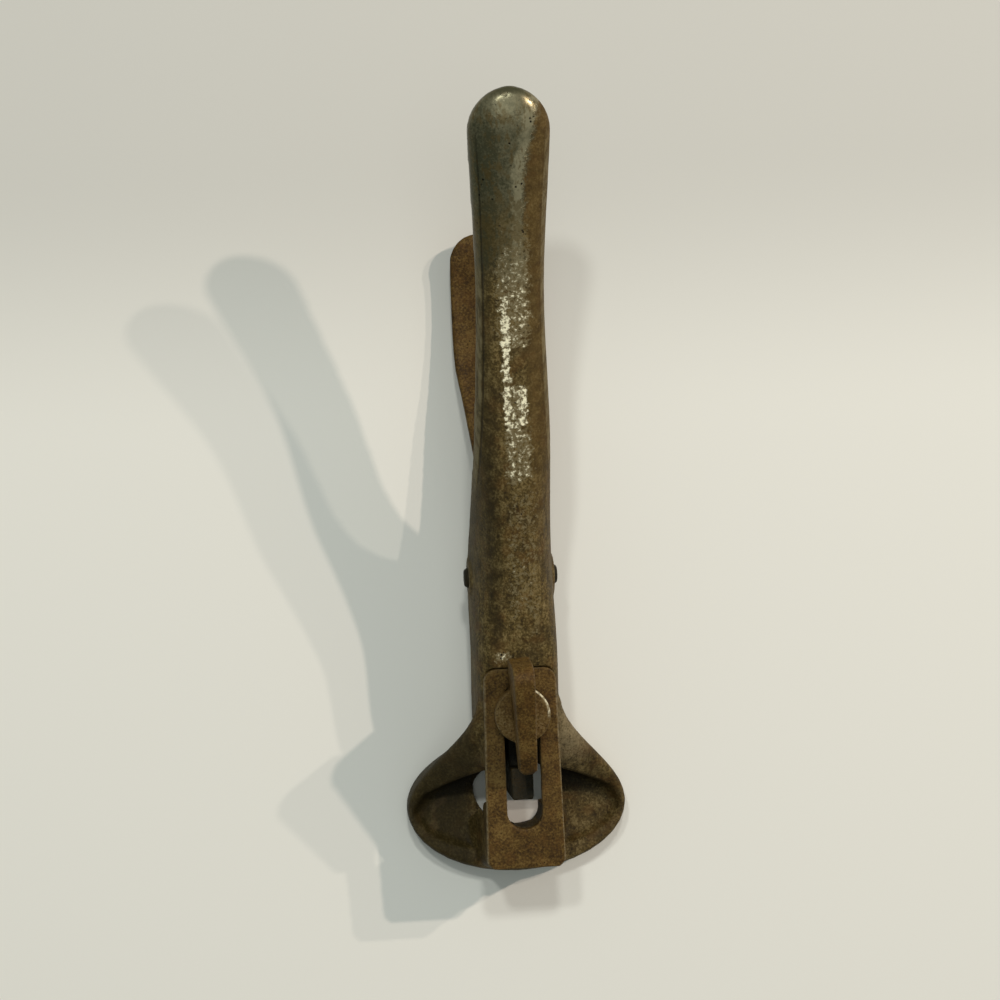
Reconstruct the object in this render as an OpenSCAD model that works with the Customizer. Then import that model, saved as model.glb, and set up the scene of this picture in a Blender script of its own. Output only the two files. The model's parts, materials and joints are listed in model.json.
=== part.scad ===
// Pliers-type saw set: a cast handle with a winged head, a pivoted lower handle that drives
// a sliding hammer against a notched anvil, and a slotted gauge plate under a thumbscrew.
// X is across the tool, Y runs from the head back to the handle ends, Z is up from the foot.
// Lengths along Y are given from the front of the head and moved to the middle at the end.

/* [Tool] */
// Length over all, from the front of the head to the end of the upper handle
tool_len = 178.4; // [168:0.4:190]
// Height of the upper handle's end above the foot
handle_end_h = 64; // [58:0.5:72]
// Width of the head over its wings
head_w = 52.5; // [46:0.5:60]

/* [Upper handle] */
// Width of the rounded end
handle_end_w = 18.5; // [16:0.1:21]
// Width at the waist in front of the end
handle_waist_w = 15.6; // [14.4:0.1:18]
// Width in the middle
handle_mid_w = 17.6; // [15:0.1:20]
// Width at the pivot and the neck
neck_w = 19.8; // [19:0.1:22]
// Distance from the end back to the waist
handle_waist_back = 42; // [34:1:50]
// Slope of the back in degrees
handle_slope = 15.2; // [13:0.1:17]
// Depth of the side walls at the waist
handle_depth = 6; // [5.5:0.5:12]
// Thickness of the side walls
handle_wall = 2.3; // [1.8:0.1:2.8]
// Thickness of the back
handle_back = 2.6; // [2:0.1:3.4]
// Height of the back at the rear end of the gauge plate
neck_h = 28.3; // [27:0.1:30]
// Roundness of the neck under the gauge plate, from square to arched
neck_round = 0.4; // [0.3:0.05:0.8]

/* [Head] */
// Height of the rim round the wings
rim_h = 7.6; // [6.5:0.1:9]
// Distance from the front of the head to the widest line of the wings
wing_y = 16; // [14:0.5:18]
// Distance from the front to where the shoulders meet the neck
shoulder_y = 42.5; // [40:0.5:46]
// Height of the pocket floor beside the window
floor_h = 4.2; // [3.6:0.1:5.2]
// Width of the sloping band inside the front rim
rim_band = 5; // [4:0.1:6.5]
// Width of the rim at the wing tips
rim_end = 1.8; // [1.4:0.1:3.4]
// How far the pockets' rear edges sweep forward towards the wing tips
band_sweep = 9.6; // [8:0.2:11]
// Width of the window
window_w = 20.4; // [18:0.2:22]
// Widest line of the window from the front
window_mid_y = 20.3; // [19:0.1:21.5]
// Rear edge of the window from the front
window_rear = 26.2; // [25.6:0.1:26.8]
// Front edge of the window from the front
window_front = 10.8; // [10:0.1:11.6]
// Height of the ledge that carries the anvil over the window
ledge_z = 12.5; // [11:0.1:13]
// Rear face of the front wall, against which the saw lies
wall_y = 17.6; // [16.8:0.1:18.4]
// Width of the front wall under the gauge plate
wall_w = 17.4; // [16.4:0.1:18]
// How far the front wall flares out on each side where it meets the foot
wall_flare = 6; // [3:0.5:8]
// Radius of the front wall's upright edges
wall_edge = 1.8; // [1:0.1:2.6]
// Width of the notch in the front wall
notch_w = 8.6; // [8:0.1:9]
// Distance from the front to the bottom of the notch
notch_y = 12.2; // [11.6:0.1:12.8]

/* [Pivot] */
// Distance of the pivot pin from the front
pivot_y = 71; // [70:0.5:75]
// Height of the pivot pin
pivot_z = 16; // [15.5:0.1:16.6]
// Diameter of the pivot pin
pin_d = 4.2; // [3.6:0.1:4.6]
// Diameter of the riveted pin heads
pin_head_d = 5; // [4.8:0.1:6]
// How far the pin heads stand out
pin_head_h = 0.9; // [0.6:0.1:1.6]
// How far the pin bosses stand out from the side walls
boss_h = 0.2; // [0.1:0.1:0.6]

/* [Lower handle] */
// Reach of the lower handle behind the pivot
lever_len = 82; // [74:1:92]
// Width near its end
lever_end_w = 20.6; // [17:0.1:22]
// Width behind the pivot
lever_root_w = 12.6; // [11:0.1:13.6]
// Depth of its rounded underside
lever_depth = 5; // [4.4:0.2:7]
// Rise of its crowned upper face
lever_crown = 0.9; // [0.4:0.1:1.4]
// Radius of the corners at its end
lever_corner = 6.5; // [4:0.5:8]
// Radius of the hub on the pin
hub_r = 5.6; // [5:0.1:6]
// Width of the hub between the side walls
hub_w = 14.2; // [12:0.1:14.4]
// How far the nose stands in front of the pivot
nose_fore = 6.8; // [6:0.1:7.5]
// How far the nose stands above the pivot
nose_rise = 9.4; // [9:0.1:9.6]
// Radius of the nose
nose_r = 2.4; // [2:0.1:2.6]
// Width of the nose
nose_w = 4.8; // [4:0.1:5.2]
// Angle that the lower handle closes through
lever_travel = 16; // [10:0.5:17]

/* [Hammer] */
// Width of the sliding hammer
hammer_w = 5.2; // [4.6:0.1:5.6]
// Opening between the anvil and the hammer's face
saw_gap = 1.4; // [1:0.1:2]
// Length of the hammer's tall head
hammer_head_len = 7.4; // [6:0.1:7.6]
// Height of the top of the hammer's head
hammer_top = 22.8; // [20:0.1:23]
// Chamfer of the hammer's face
hammer_chamfer = 0.5; // [0.3:0.1:0.8]
// Height of the underside of the hammer's shank
shank_z = 8; // [7:0.1:9]
// Depth of the hammer's shank
shank_h = 10.4; // [9:0.1:10.8]
// Length of the upturned heel that the nose pushes
heel_len = 6; // [4:0.1:7]
// Height of the top of the heel
heel_top = 26; // [25:0.1:26.2]

/* [Gauge plate] */
// Distance of the plate's front end from the front of the head
plate_y = 3.4; // [2.8:0.1:4.6]
// Length of the plate
plate_len = 46.7; // [45:0.1:48]
// Width of the plate at its front end
plate_w = 18.3; // [17.6:0.1:18.8]
// Width of the plate at its rear end
plate_rear_w = 16.8; // [16:0.1:17.2]
// Thickness of the plate
plate_t = 2.2; // [1.6:0.1:2.6]
// Radius of the corners at the plate's rear end
plate_corner = 3; // [2:0.1:4]
// Tilt of the plate down to the front, in degrees
plate_tilt = 4; // [3:0.1:5]
// Width of the slot
slot_w = 8.2; // [7.8:0.1:8.6]
// Distance from the plate's front end to the slot
slot_fore = 9.1; // [8.4:0.1:10]
// Forward travel of the plate
plate_travel = 3.4; // [2:0.1:3.6]

/* [Thumbscrew] */
// Distance from the plate's rear end forward to the screw
screw_fore = 10.4; // [9.6:0.1:11]
// Diameter of the threaded shank
screw_d = 6; // [5:0.1:6.4]
// Length of the threaded shank
screw_len = 5.2; // [4.4:0.1:5.6]
// Diameter of the shoulder in the slot
shoulder_d = 7.6; // [7:0.1:7.7]
// Diameter of the collar that presses on the washer
collar_d = 12.8; // [10:0.1:13.4]
// Diameter of the clamp washer
washer_d = 12.8; // [12:0.1:15]
// Thickness of the clamp washer
washer_t = 1.6; // [1.2:0.1:2]
// Thickness of the thumb-piece at its rear end
thumb_t = 5; // [4.6:0.1:6]
// Thickness of the thumb-piece at its front end
thumb_front_t = 4.1; // [3.4:0.1:4.6]
// Length of the thumb-piece
thumb_len = 27; // [22:0.5:28]
// Height of the thumb-piece above the washer
thumb_h = 13.4; // [10:0.2:16]
// Chamfer of the thumb-piece's front corners
thumb_corner = 1.2; // [0.4:0.1:1.6]
// Angle at which the thumb-piece stands when it is clamped
thumb_turn = 2.5; // [-10:0.5:10]

/* [Anvil] */
// Width over the two anvil cheeks
anvil_w = 15.2; // [14.4:0.1:15.6]
// Height of the anvil cheeks
anvil_h = 9.4; // [8:0.1:9.6]
// Height of their underside above the foot
anvil_z = 13.4; // [13.2:0.1:13.8]
// Thickness of the anvil cheeks
anvil_t = 3.6; // [3:0.1:4]
// Diameter of the two anvil screws
anvil_screw_d = 2.2; // [1.8:0.1:2.4]
// Height of the anvil screws
anvil_screw_z = 18; // [17:0.1:19]
// Distance from the front to the outside of the anvil screws' heads
anvil_head_y = 5; // [4.4:0.1:5.4]
// Thickness of the anvil screws' heads
anvil_head_t = 1.8; // [1.4:0.1:2]

/* [Spring] */
// Outer diameter of the return spring
spring_d = 5.6; // [5:0.1:6]
// Wire of the return spring
spring_wire = 0.8; // [0.6:0.05:0.9]
// Turns of the return spring
spring_turns = 7; // [5:1:8]
// Height of the spring's axis
spring_z = 21.6; // [21.2:0.1:22]
// Distance from the thumbscrew's axis back to the spring's seat
spring_seat_back = 5; // [4.4:0.1:6]

/* [Fits] */
// Running clearance of the pivot on its radius
pin_fit = 0.05; // [0.03:0.01:0.1]
// Clearance of a sliding or dropped-in piece on each side
slide_fit = 0.15; // [0.1:0.01:0.2]
// Clearance between moving pieces that don't touch
gap = 0.3; // [0.2:0.05:0.4]

/* [Hidden] */

// Steps round an arched section and round the head
arch_steps = 14;
front_steps = 9;
rear_steps = 12;
crown_steps = 6;
end_steps = 9;
eps = 0.01;

// Gauge plate's resting plane, and where the screw stands in it
plate_end_y = plate_y + plate_len;
deck_h = neck_h - plate_t;
screw_y = plate_end_y - screw_fore * cos(plate_tilt);

// Upper handle's back and lower edges, by the distance from the front
neck_foot = 2.4;
neck_heel = 6.5;
skirt_back = 13;
skirt_rise = 2.2;
end_rise = 2.4;
crown_drop = 0.4;
boss_d = pin_head_d + 4.4;
skirt_z = pivot_z - boss_d / 2 - 0.8;
back_slope = tan(handle_slope);
waist_y = tool_len - handle_waist_back;
bulb_y = tool_len - handle_end_w / 2;
waist_top = handle_end_h - 1 - back_slope * handle_waist_back * 1.08;
mid_y = (pivot_y + waist_y) / 2;
pivot_top = waist_top - back_slope * (waist_y - pivot_y);

// Rows of [distance from the front, half width, top, underside]
neck_y = window_rear + 0.5;
handle_rows = [
    [neck_y, neck_w / 2 - 0.4, neck_h - 2, neck_foot],
    [shoulder_y, neck_w / 2, neck_h - 0.9, neck_heel],
    [plate_end_y + 3, neck_w / 2, neck_h + 0.5, skirt_z],
    [pivot_y, neck_w / 2, pivot_top, skirt_z],
    [pivot_y + skirt_back, neck_w / 2 - 0.5, pivot_top + back_slope * skirt_back, pivot_z + skirt_rise],
    [mid_y, handle_mid_w / 2, (pivot_top + waist_top) / 2, (pivot_top + waist_top) / 2 - handle_depth - 1],
    [waist_y, handle_waist_w / 2, waist_top, waist_top - handle_depth],
    [bulb_y, handle_end_w / 2, handle_end_h - crown_drop, handle_end_h - crown_drop - handle_depth],
    [tool_len, handle_end_w / 2, handle_end_h + end_rise, handle_end_h + end_rise - handle_depth]
];

// Lower handle's rows: [distance from the front, half width, upper face, underside]. It rests on
// the table at its lowest place, near the end, and turns up a little behind that.
lever_end_y = pivot_y + lever_len;
lever_low_y = lever_end_y - 14;
lever_low_z = 0.1;
lever_tip_z = lever_depth + lever_low_z;
lever_upturn = 1.1;
lever_rows = [
    [pivot_y + hub_r - 0.6, lever_root_w / 2, pivot_z + 2.2, pivot_z - hub_r + 0.3],
    [pivot_y + 22, lever_root_w / 2 + 0.2, pivot_z - 1.6, pivot_z - 10.4],
    [pivot_y + lever_len / 2, lever_end_w / 2 - 1.5, pivot_z - 6.2, pivot_z - 12.8],
    [pivot_y + lever_len * 0.62, lever_end_w / 2 - 0.1, lever_tip_z + 1.6, lever_low_z + 1.2],
    [lever_low_y, lever_end_w / 2, lever_tip_z, lever_low_z],
    [lever_end_y, lever_end_w / 2 - 0.3, lever_tip_z + lever_upturn, lever_low_z + lever_upturn]
];

// Hammer and nose, and the seat of the anvil screws' heads in front of the anvil
anvil_head_z = wall_y - anvil_t - anvil_head_y - anvil_head_t;
nose_y = pivot_y - nose_fore;
nose_z = pivot_z + nose_rise;
hammer_y = wall_y + saw_gap;
hammer_end = nose_y - nose_r - gap;
hammer_travel = nose_rise * sin(lever_travel) - nose_fore * (1 - cos(lever_travel));
cavity_y = hammer_end - heel_len - hammer_travel - 3;

// Smooth curve through the rows' column c at distance d
function row_slope(rows, i, c) =
    let (a = max(i - 1, 0), b = min(i + 1, len(rows) - 1))
    (rows[b][c] - rows[a][c]) / (rows[b][0] - rows[a][0]);
function row_before(rows, d) = max([for (i = [0:len(rows) - 2]) if (i == 0 || d >= rows[i][0]) i]);
function along(rows, d, c) =
    let (i = row_before(rows, d),
         h = rows[i + 1][0] - rows[i][0],
         t = (d - rows[i][0]) / h,
         a = 2 * t * t * t - 3 * t * t + 1,
         b = t * t * t - 2 * t * t + t,
         e = t * t * t - t * t)
    a * rows[i][c] + (1 - a) * rows[i + 1][c]
        + h * (b * row_slope(rows, i, c) + e * row_slope(rows, i + 1, c));
function smooth(t) = t * t * (3 - 2 * t);
function mix(a, b, t) = a + (b - a) * t;

// Share of the full section that is left inside a round end of radius r that stops at last
function round_end(d, last, r) = d <= last - r ? 1 : sqrt(max(0, 1 - pow((d - last + r) / r, 2)));

// Arched section at distance d: half width w, foot at z0, crown at z1
function arch(d, w, z0, z1, round = 0.8) = [
    for (i = [0:arch_steps])
        let (a = 180 * i / arch_steps, c = cos(a))
        [w * sign(c) * pow(abs(c), round), d, z0 + (z1 - z0) * pow(max(sin(a), 0), round)]
];

// Solid through a list of closed sections that have as many points each. Sections that turn the
// other way round as they advance are marked as turned.
module loft(sections, turned = false) {
    n = len(sections[0]);
    last = len(sections) - 1;
    points = [for (s = sections) each s];
    sides = [
        for (j = [0:last - 1], i = [0:n - 1])
            let (k = (i + 1) % n, a = j * n, b = a + n)
            each [[a + i, a + k, b + k], [a + i, b + k, b + i]]
    ];
    caps = [[for (i = [n - 1:-1:0]) i], [for (i = [0:n - 1]) last * n + i]];
    faces = concat(sides, caps);
    polyhedron(points, turned ? [for (f = faces) [for (i = [len(f) - 1:-1:0]) f[i]]] : faces, convexity = 8);
}

// Stations from first to last, closing up on a round end of radius r
function stations(first, last, r, steps) = concat(
    [for (i = [0:steps - 1]) mix(first, last - r, i / steps)],
    [for (i = [0:end_steps - 1]) last - r + r * sin(90 * i / end_steps)],
    [last]
);

// Section of the upper handle shrunk by side and top, and let down by drop
function handle_section(d, last, side, top, drop) =
    let (f = round_end(d, last, handle_end_w / 2 - side),
         w = along(handle_rows, d, 1) - side,
         z1 = along(handle_rows, d, 2) - top,
         z0 = along(handle_rows, d, 3) - drop,
         mid = z0 + (z1 - z0) * 0.45,
         t = max(0, min(1, (d - plate_end_y) / (pivot_y + 6 - plate_end_y))))
    arch(d, w * max(f, 0.12), mix(mid, z0, mix(0.35, 1, f)), mix(mid, z1, max(f, 0.15)),
         mix(neck_round, 0.8, smooth(t)));

// Section of the lower handle: round below, with a slightly crowned upper face
function lever_section(d) =
    let (f = round_end(d, lever_end_y, lever_corner),
         w = along(lever_rows, d, 1) - lever_corner * (1 - f),
         z1 = along(lever_rows, d, 2),
         z0 = mix(z1, along(lever_rows, d, 3), mix(0.55, 1, f)))
    concat(arch(d, w, z1, z0, 0.7),
           [for (i = [1:crown_steps - 1])
               let (x = -1 + 2 * i / crown_steps)
               [w * x, d, z1 + lever_crown * max(f, 0.2) * (1 - x * x)]]);

// Outlines of the head by step: the front half is an ellipse and the rear half sweeps in to
// the neck. Every outline runs from the front round the right wing to the rear.
head_steps = front_steps + rear_steps;
function head_turn(i) = i <= front_steps ? 90 * i / front_steps : 90 + 90 * (i - front_steps) / rear_steps;
function oval(i, w, fore, rear) =
    let (a = head_turn(i))
    [w * sin(a), wing_y - (a <= 90 ? fore : rear) * cos(a)];
function shoulder(i) =
    let (t = (i - front_steps) / (rear_steps - 1))
    i <= front_steps ? oval(i, head_w / 2, wing_y, wing_y)
    : i == head_steps ? [0, shoulder_y]
    : [mix(head_w / 2, neck_w / 2, smooth(t)), mix(wing_y, shoulder_y, t)];
function ridge_h(i) =
    i <= front_steps ? rim_h : mix(rim_h, neck_h - 4, smooth(min(1, (i - front_steps) / (rear_steps - 1))));
function band_edge(i) =
    i <= front_steps ? oval(i, head_w / 2 - rim_end, wing_y - rim_band, 0)
    : let (t = (i - front_steps) / rear_steps, x = (head_w / 2 - rim_end) * (1 - t))
      [x, window_rear + 0.8 - band_sweep * pow(x / (head_w / 2), 1.6)];
function band_h(i) =
    i <= front_steps ? rim_h - 0.5
    : mix(rim_h - 0.5, neck_h - 9, min(1, (i - front_steps) / rear_steps * 1.2));
function window_edge(i, out) =
    let (a = head_turn(i), y = a <= 90 ? window_front - window_mid_y - out : window_rear - window_mid_y + out)
    [(window_w / 2 + out) * sin(a), window_mid_y + (a <= 90 ? y : -y) * cos(a)];

// Half a ring of the head, given at the height z, mirrored to the whole ring
function half_ring(p, z) = [for (i = [0:head_steps]) [p[i][0], p[i][1], z[i]]];
function whole_ring(h) = concat(h, [for (i = [head_steps - 1:-1:1]) [-h[i][0], h[i][1], h[i][2]]]);
function between(p, q, t) = [for (i = [0:head_steps]) mix(p[i], q[i], t)];

module head_shell() {
    foot = [for (i = [0:head_steps]) oval(i, head_w / 2, wing_y, wing_y)];
    heel = [for (i = [0:head_steps]) oval(i, head_w / 2 - 0.7, wing_y - 0.7, wing_y - 0.7)];
    ridge = [for (i = [0:head_steps]) shoulder(i)];
    inner = [for (i = [0:head_steps]) band_edge(i)];
    low = [for (i = [0:head_steps]) window_edge(i, 0.5)];
    ridge_z = [for (i = [0:head_steps]) ridge_h(i)];
    inner_z = [for (i = [0:head_steps]) band_h(i)];
    ones = [for (i = [0:head_steps]) 1];
    rings = [
        half_ring(heel, 0 * ones),
        half_ring(foot, 0.9 * ones),
        half_ring(between(foot, ridge, 0.15), 2.6 * ones),
        half_ring(ridge, ridge_z - 1.9 * ones),
        half_ring(between(ridge, inner, 0.07), ridge_z - 0.6 * ones),
        half_ring(between(ridge, inner, 0.25), ridge_z + 0.1 * ones),
        half_ring(between(ridge, inner, 0.65), mix(ridge_z, inner_z, 0.4)),
        half_ring(between(ridge, inner, 0.92), mix(ridge_z, inner_z, 0.9)),
        half_ring(inner, inner_z - 0.5 * ones),
        half_ring(between(inner, low, 0.1), mix(inner_z, floor_h * ones, 0.6)),
        half_ring(between(inner, low, 0.28), mix(inner_z, floor_h * ones, 0.84)),
        half_ring(between(inner, low, 0.6), mix(inner_z, floor_h * ones, 0.93)),
        half_ring(low, floor_h * ones)
    ];
    loft([for (r = rings) whole_ring(r)], turned = true);
}

// Moves the gauge parts onto the tilted plane that the plate lies on: here the origin is the
// top of the recess at the plate's rear end, and Y still runs to the rear
module on_deck(fore = 0, up = 0) {
    translate([0, plate_end_y, deck_h])
        rotate([plate_tilt, 0, 0])
            translate([0, -fore, up])
                children();
}

module plate_outline(fit = 0) {
    cut = 1.4;
    w0 = plate_rear_w / 2 + fit;
    w1 = plate_w / 2 + fit;
    len = plate_len + fit;
    polygon([[-w1, cut - len], [cut - w1, -len], [w1 - cut, -len], [w1, cut - len],
             [w0, fit - plate_corner], [-w0, fit - plate_corner]]);
    translate([plate_corner - w0, -plate_corner * 2])
        square([2 * w0 - 2 * plate_corner, 2 * plate_corner + fit]);
    for (s = [-1, 1])
        translate([s * (w0 - plate_corner), fit - plate_corner])
            circle(r = plate_corner, $fn = 48);
}

module slot_outline(fore, rear, w) {
    translate([-w / 2, -fore + w / 2])
        square([w, fore - rear - w]);
    for (y = [-fore + w / 2, -rear - w / 2])
        translate([0, y])
            circle(d = w, $fn = 48);
}

module across(d, w) {
    rotate([0, 90, 0])
        cylinder(d = d, h = w, center = true, $fn = 64);
}

// Window through the foot, up to the ledge
module window_cut() {
    half = [for (i = [0:head_steps]) window_edge(i, 0)];
    translate([0, 0, -1])
        linear_extrude(ledge_z + 1)
            polygon(concat(half, [for (i = [head_steps - 1:-1:1]) [-half[i][0], half[i][1]]]));
}

// Ring of the front wall at height z: it flares into the rim below and leans back above
wall_flare_h = rim_h + 7;
wall_foot_y = 0.6;
wall_top_y = plate_y + 0.5;
wall_bevel = 0.8;
function wall_ring(z) =
    let (f = pow(max(0, 1 - z / wall_flare_h), 2),
         w = wall_w / 2 + wall_flare * f,
         y0 = mix(wall_foot_y, wall_top_y, smooth(min(1, z / deck_h))),
         r = wall_edge + wall_flare * 1.3 * f,
         y1 = max(mix(wall_y, window_front, min(1, 1.6 * f)), y0 + r + 0.1),
         y2 = y1 + wall_bevel * 0.75)
    [for (a = [180:18:270]) [-w + r + r * cos(a), y0 + r + r * sin(a), z],
     for (a = [270:18:360]) [w - r + r * cos(a), y0 + r + r * sin(a), z],
     [w, y1, z], [w - wall_bevel, y2, z], [wall_bevel - w, y2, z], [-w, y1, z]];

module front_wall() {
    loft([for (z = [0, 2, 4, 6, 8, 10.5, 14, 20, deck_h + 4]) wall_ring(z)], turned = true);
}

module notch_cut() {
    r = notch_w / 2;
    translate([0, notch_y + r, ledge_z - 1]) {
        cylinder(r = r, h = 2 * deck_h, $fn = 64);
        translate([-r, 0, 0])
            cube([notch_w, wall_y, 2 * deck_h]);
    }
}

module anvil_screw_axes() {
    for (s = [-1, 1])
        translate([s * (notch_w / 2 + anvil_w / 2) / 2, wall_y - anvil_t, anvil_screw_z])
            rotate([90, 0, 0])
                children();
}

module upper_handle() {
    nose_room = nose_r + gap;
    color("dimgray")
        difference() {
            union() {
                head_shell();
                loft([for (d = stations(neck_y, tool_len, handle_end_w / 2, 26))
                    handle_section(d, tool_len, 0, 0, 0)]);
                translate([0, pivot_y, pivot_z])
                    across(boss_d, neck_w + 2 * boss_h);
                front_wall();
            }
            window_cut();
            notch_cut();
            // hollow under the back, open below
            loft([for (d = stations(cavity_y, tool_len - handle_wall, handle_end_w / 2 - handle_wall, 22))
                handle_section(d, tool_len - handle_wall, handle_wall, handle_back, 8)]);
            // room for the hub between the bosses
            translate([0, pivot_y, pivot_z])
                across(2 * hub_r + 2 * gap, neck_w - 2 * handle_wall);
            // seat of the gauge plate, open to the front
            on_deck()
                linear_extrude(deck_h)
                    plate_outline(slide_fit);
            on_deck(plate_end_y - shoulder_y + plate_corner)
                translate([-head_w / 2, -plate_len, 0])
                    cube([head_w, plate_len, deck_h]);
            on_deck(screw_fore, -screw_len - gap)
                cylinder(d = screw_d + 2 * pin_fit, h = screw_len + 2 * gap, $fn = 48);
            // way of the hammer
            translate([-hammer_w / 2 - slide_fit, wall_y, shank_z - slide_fit])
                cube([hammer_w + 2 * slide_fit, cavity_y - wall_y + 4, shank_h + 2 * slide_fit]);
            // room for the heel and the nose under the back
            translate([-hammer_w / 2 - gap, hammer_end - heel_len - hammer_travel - gap, shank_z])
                cube([hammer_w + 2 * gap, heel_len + hammer_travel + 2 * gap, heel_top + gap - shank_z]);
            translate([-nose_w / 2 - gap, nose_y - 2 * nose_room, nose_z - nose_room])
                cube([nose_w + 2 * gap, 3 * nose_room, 2 * nose_room]);
            // bore of the return spring
            translate([0, spring_y, spring_z])
                rotate([-90, 0, 0])
                    cylinder(d = spring_d + 2 * gap, h = cavity_y - spring_y + 1, $fn = 48);
            // seat of the anvil and its screws
            translate([-anvil_w / 2 - slide_fit, wall_y - anvil_t, anvil_z - slide_fit])
                cube([anvil_w + 2 * slide_fit, anvil_t + 2, deck_h]);
            anvil_screw_axes() {
                translate([0, 0, -anvil_t])
                    cylinder(d = anvil_screw_d + 2 * pin_fit, h = wall_y, $fn = 32);
                translate([0, 0, anvil_head_z])
                    cylinder(d = 2 * anvil_screw_d + 2 * pin_fit, h = wall_y, $fn = 32);
            }
            translate([0, pivot_y, pivot_z])
                across(pin_d + 2 * pin_fit, 2 * neck_w);
        }
}

module lower_handle() {
    color("saddlebrown")
        difference() {
            union() {
                loft([for (d = stations(pivot_y + 4, lever_end_y, lever_corner, 22))
                    lever_section(d)], turned = true);
                translate([0, pivot_y, pivot_z])
                    across(2 * hub_r, hub_w);
                // arm that carries the nose up in front of the pin
                translate([-nose_w / 2, 0, 0])
                    rotate([90, 0, 90])
                        linear_extrude(nose_w)
                            hull() {
                                translate([nose_y, nose_z])
                                    circle(r = nose_r, $fn = 40);
                                translate([pivot_y, pivot_z])
                                    circle(r = hub_r - 0.6, $fn = 40);
                            }
            }
            translate([0, pivot_y, pivot_z])
                across(pin_d + 2 * pin_fit, 2 * neck_w);
        }
}

module pivot_pin() {
    color("black")
        translate([0, pivot_y, pivot_z]) {
            across(pin_d, neck_w + 2 * boss_h + eps);
            for (s = [0, 1])
                mirror([s, 0, 0])
                    translate([neck_w / 2 + boss_h, 0, 0])
                        rotate([0, 90, 0])
                            cylinder(d1 = pin_head_d, d2 = pin_head_d - 1.2, h = pin_head_h, $fn = 48);
        }
}

module hammer() {
    half = hammer_w / 2;
    c = hammer_chamfer;
    color("darkslategray") {
        translate([0, hammer_y, shank_z])
            linear_extrude(hammer_top - shank_z)
                polygon([[c - half, 0], [half - c, 0], [half, c], [half, hammer_head_len],
                         [-half, hammer_head_len], [-half, c]]);
        translate([-half, hammer_y + c, shank_z])
            cube([hammer_w, hammer_end - hammer_y - c, shank_h]);
        translate([-half, hammer_end - heel_len, shank_z])
            cube([hammer_w, heel_len, heel_top - shank_z]);
    }
}

module gauge_plate() {
    color("sienna")
        on_deck()
            difference() {
                linear_extrude(plate_t)
                    difference() {
                        plate_outline();
                        slot_outline(plate_len - slot_fore,
                                     screw_fore - shoulder_d / 2 - slide_fit - plate_travel, slot_w);
                    }
                // front edge bevelled on top
                translate([-plate_w, -plate_len - 0.6, plate_t])
                    rotate([40, 0, 0])
                        translate([0, -4, -1])
                            cube([2 * plate_w, 4, 4]);
            }
}

module clamp_washer() {
    color("peru")
        on_deck(screw_fore, plate_t)
            difference() {
                cylinder(d = washer_d, h = washer_t, $fn = 64);
                translate([0, 0, -1])
                    cylinder(d = shoulder_d + 2 * slide_fit, h = washer_t + 2, $fn = 48);
            }
}

module thumbscrew() {
    front = thumb_front_t / 2;
    half = thumb_len / 2;
    color("chocolate")
        on_deck(screw_fore, 0) {
            translate([0, 0, -screw_len])
                cylinder(d = screw_d, h = screw_len + 1, $fn = 48);
            cylinder(d = shoulder_d, h = plate_t + washer_t + 1, $fn = 48);
            translate([0, 0, plate_t + washer_t])
                cylinder(d = collar_d, h = 2.4, $fn = 48);
            translate([0, 0, plate_t + washer_t])
                rotate([0, 0, thumb_turn])
                    intersection() {
                        rotate([90, 0, 90])
                            translate([0, 0, -thumb_t / 2])
                                linear_extrude(thumb_t)
                                    thumb_outline();
                        linear_extrude(2 * thumb_h)
                            polygon([[-front, thumb_corner - half], [thumb_corner - front, -half],
                                     [front - thumb_corner, -half], [front, thumb_corner - half],
                                     [thumb_t / 2, half], [-thumb_t / 2, half]]);
                    }
        }
}

// Side view of the thumb-piece, high at the rear and low at the front
module thumb_outline() {
    half = thumb_len / 2;
    top_r = 3.4;
    heel_r = 2;
    toe_r = 2.8;
    hull() {
        translate([half - top_r - 0.8, thumb_h - top_r])
            circle(r = top_r, $fn = 48);
        translate([half - heel_r, heel_r + 0.6])
            circle(r = heel_r, $fn = 32);
        translate([toe_r - half, toe_r + 0.6])
            circle(r = toe_r, $fn = 48);
    }
}

module anvil() {
    color("lightslategray")
        difference() {
            translate([-anvil_w / 2, wall_y - anvil_t, anvil_z])
                cube([anvil_w, anvil_t, anvil_h]);
            notch_cut();
            anvil_screw_axes()
                translate([0, 0, -2 * anvil_t])
                    cylinder(d = anvil_screw_d + 2 * pin_fit, h = 3 * anvil_t, $fn = 32);
        }
}

// Screws through the front wall into the anvil, with slotted heads
module anvil_screws() {
    slot = anvil_screw_d / 4;
    color("gray")
        anvil_screw_axes()
            difference() {
                union() {
                    translate([0, 0, 1 - anvil_t])
                        cylinder(d = anvil_screw_d, h = anvil_head_z + anvil_t, $fn = 32);
                    translate([0, 0, anvil_head_z])
                        cylinder(d = 2 * anvil_screw_d, h = anvil_head_t, $fn = 32);
                }
                translate([-2 * anvil_screw_d, -slot / 2, anvil_head_z + anvil_head_t / 2])
                    cube([4 * anvil_screw_d, slot, anvil_head_t]);
            }
}

// Coil between the bore's end and the hammer's heel, wound as one tube
spring_y = screw_y + spring_seat_back;
spring_len = hammer_end - heel_len - spring_y - 0.1;
coil_sides = 6;
coil_rings = 8;
coil_r = (spring_d - spring_wire) / 2;
coil_rise = (spring_len - spring_wire) / spring_turns;
function coil_ring(i) =
    let (turn = 360 * i / coil_rings,
         y = spring_y + spring_wire / 2 + coil_rise * i / coil_rings,
         out = [cos(turn), 0, sin(turn)])
    [for (k = [0:coil_sides - 1])
        let (a = 360 * k / coil_sides)
        [0, y, spring_z] + (coil_r + spring_wire / 2 * cos(a)) * out + [0, spring_wire / 2 * sin(a), 0]];
echo("least gap between the spring's turns", coil_rise - spring_wire);

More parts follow.
